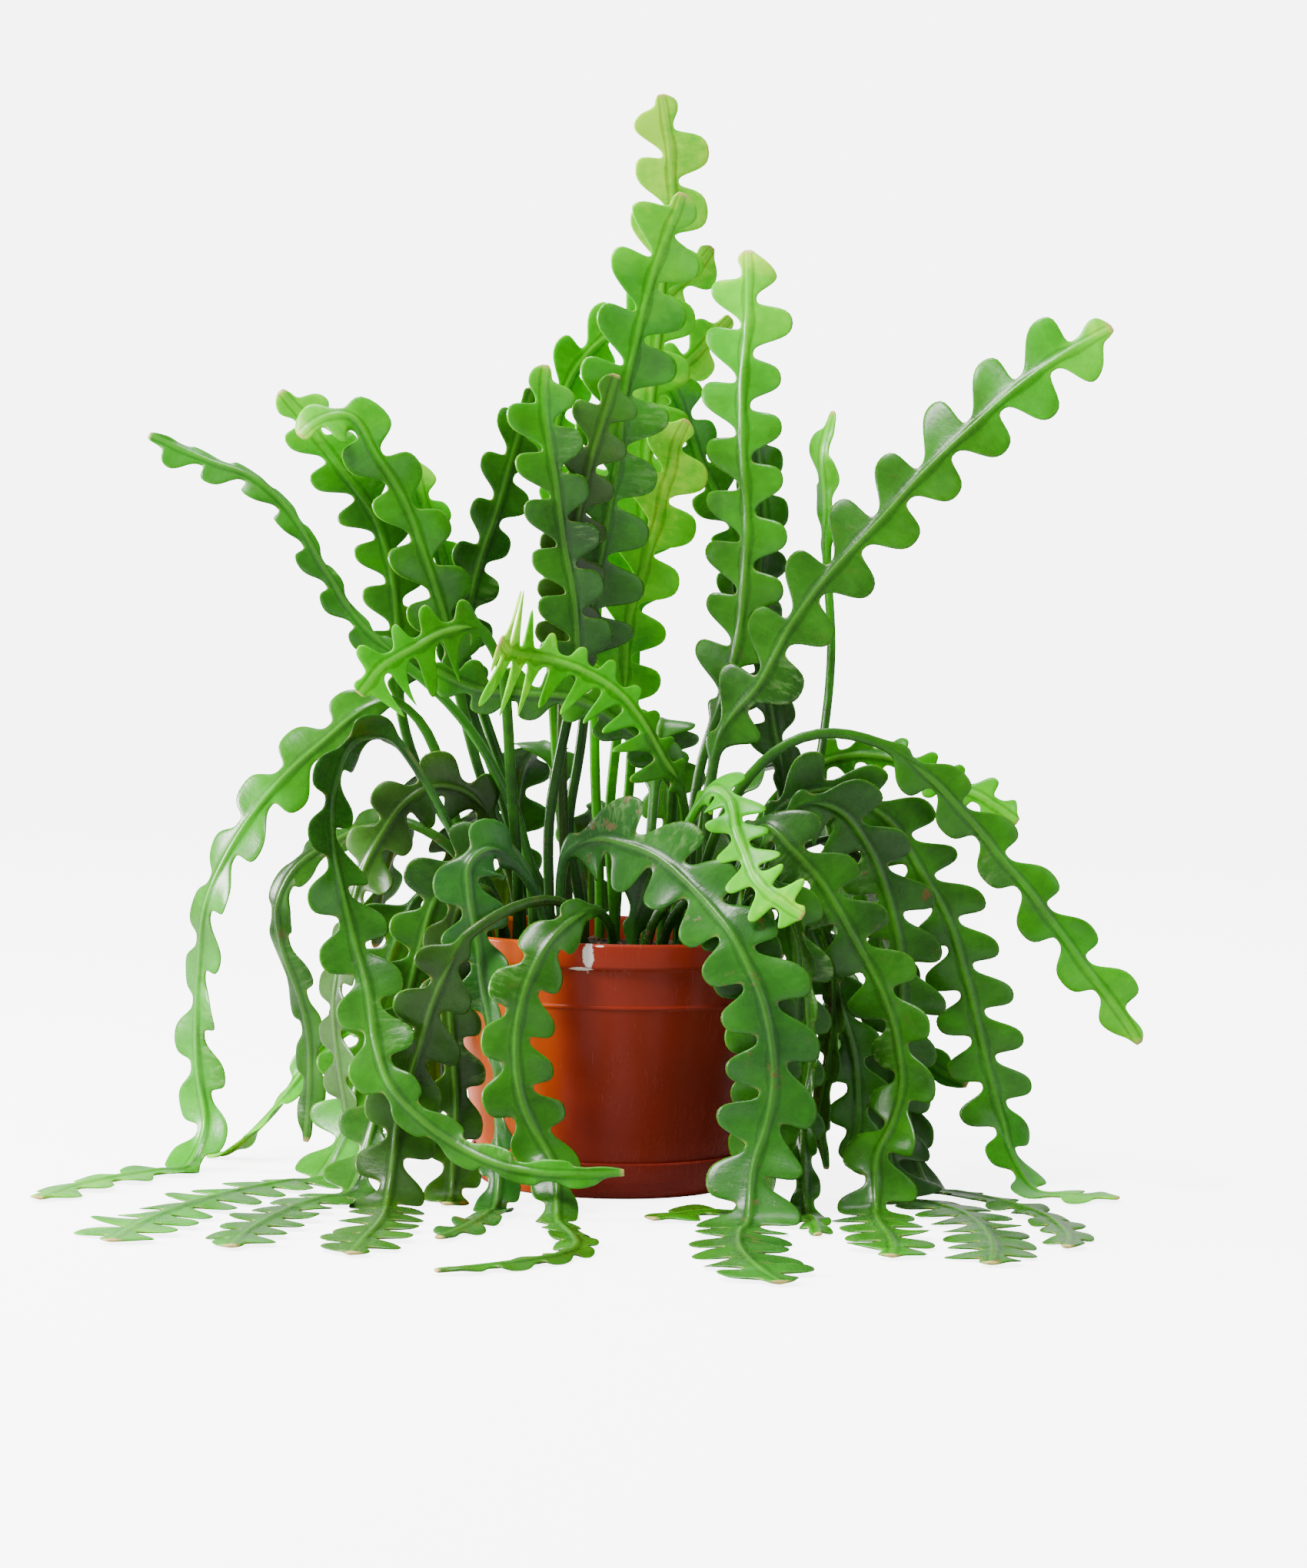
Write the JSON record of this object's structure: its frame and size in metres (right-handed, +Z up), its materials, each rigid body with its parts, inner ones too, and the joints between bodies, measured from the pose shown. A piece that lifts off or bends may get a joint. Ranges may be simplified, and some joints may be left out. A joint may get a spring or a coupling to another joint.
{
  "type": "potted fishbone cactus",
  "caption": "Fishbone cactus with flat lobed stems, upright in the middle and arching and trailing around, in a round plastic pot with a rolled rim and a drip saucer.",
  "frame": {"origin": "middle of the saucer's flat underside, on the pot's axis and on the surface that the pot stands on", "axes": "+Z up along the pot's axis, -Y towards the side shown in the picture, +X to the right as seen from there"},
  "size_m": [0.5458, 0.544, 0.558],
  "materials": {
    "pot_plastic": "smooth moulded terracotta-coloured plastic, glossy",
    "saucer_plastic": "smooth moulded terracotta-coloured plastic, glossy",
    "soil": "dark loose potting soil",
    "stem_green": "smooth waxy green skin with a paler rib and margin",
    "stem_young": "smooth waxy yellow-green young growth"
  },
  "bodies": {
    "root": {"pot": "pot_plastic", "saucer": "saucer_plastic", "soil": "soil", "stem_upright_01": "stem_young", "stem_upright_02": "stem_green", "stem_upright_03": "stem_young", "stem_upright_04": "stem_green", "stem_upright_05": "stem_green", "stem_upright_06": "stem_green", "stem_upright_07": "stem_green", "stem_upright_08": "stem_green", "stem_upright_09": "stem_young", "stem_upright_10": "stem_green", "stem_upright_11": "stem_young", "stem_left_01": "stem_green", "stem_left_02": "stem_green", "stem_left_03": "stem_green", "stem_left_04": "stem_green", "stem_left_05": "stem_young", "stem_middle_01": "stem_young", "stem_middle_02": "stem_green", "stem_right_01": "stem_green", "stem_right_02": "stem_green", "stem_right_03": "stem_green", "stem_right_04": "stem_young", "stem_right_05": "stem_green", "stem_right_06": "stem_green", "stem_right_07": "stem_green", "stem_right_08": "stem_young", "stem_right_09": "stem_green", "stem_right_10": "stem_green", "stem_right_11": "stem_green", "stem_right_12": "stem_green", "stem_right_13": "stem_green", "stem_right_14": "stem_green", "stem_right_15": "stem_green", "stem_right_16": "stem_green", "stem_trail_left_01": "stem_green", "stem_trail_left_02": "stem_green", "stem_trail_left_03": "stem_green", "stem_trail_left_04": "stem_young", "stem_trail_left_05": "stem_green", "stem_trail_left_06": "stem_green", "stem_trail_left_07": "stem_green", "stem_trail_left_08": "stem_green", "stem_trail_left_09": "stem_green", "stem_trail_left_10": "stem_green", "stem_trail_left_11": "stem_green", "stem_front_01": "stem_green", "stem_back_01": "stem_green", "stem_back_02": "stem_green", "stem_back_03": "stem_green", "stem_back_04": "stem_green", "stem_back_05": "stem_green", "stem_back_06": "stem_green", "stem_back_07": "stem_green"}
  },
  "joints": []
}
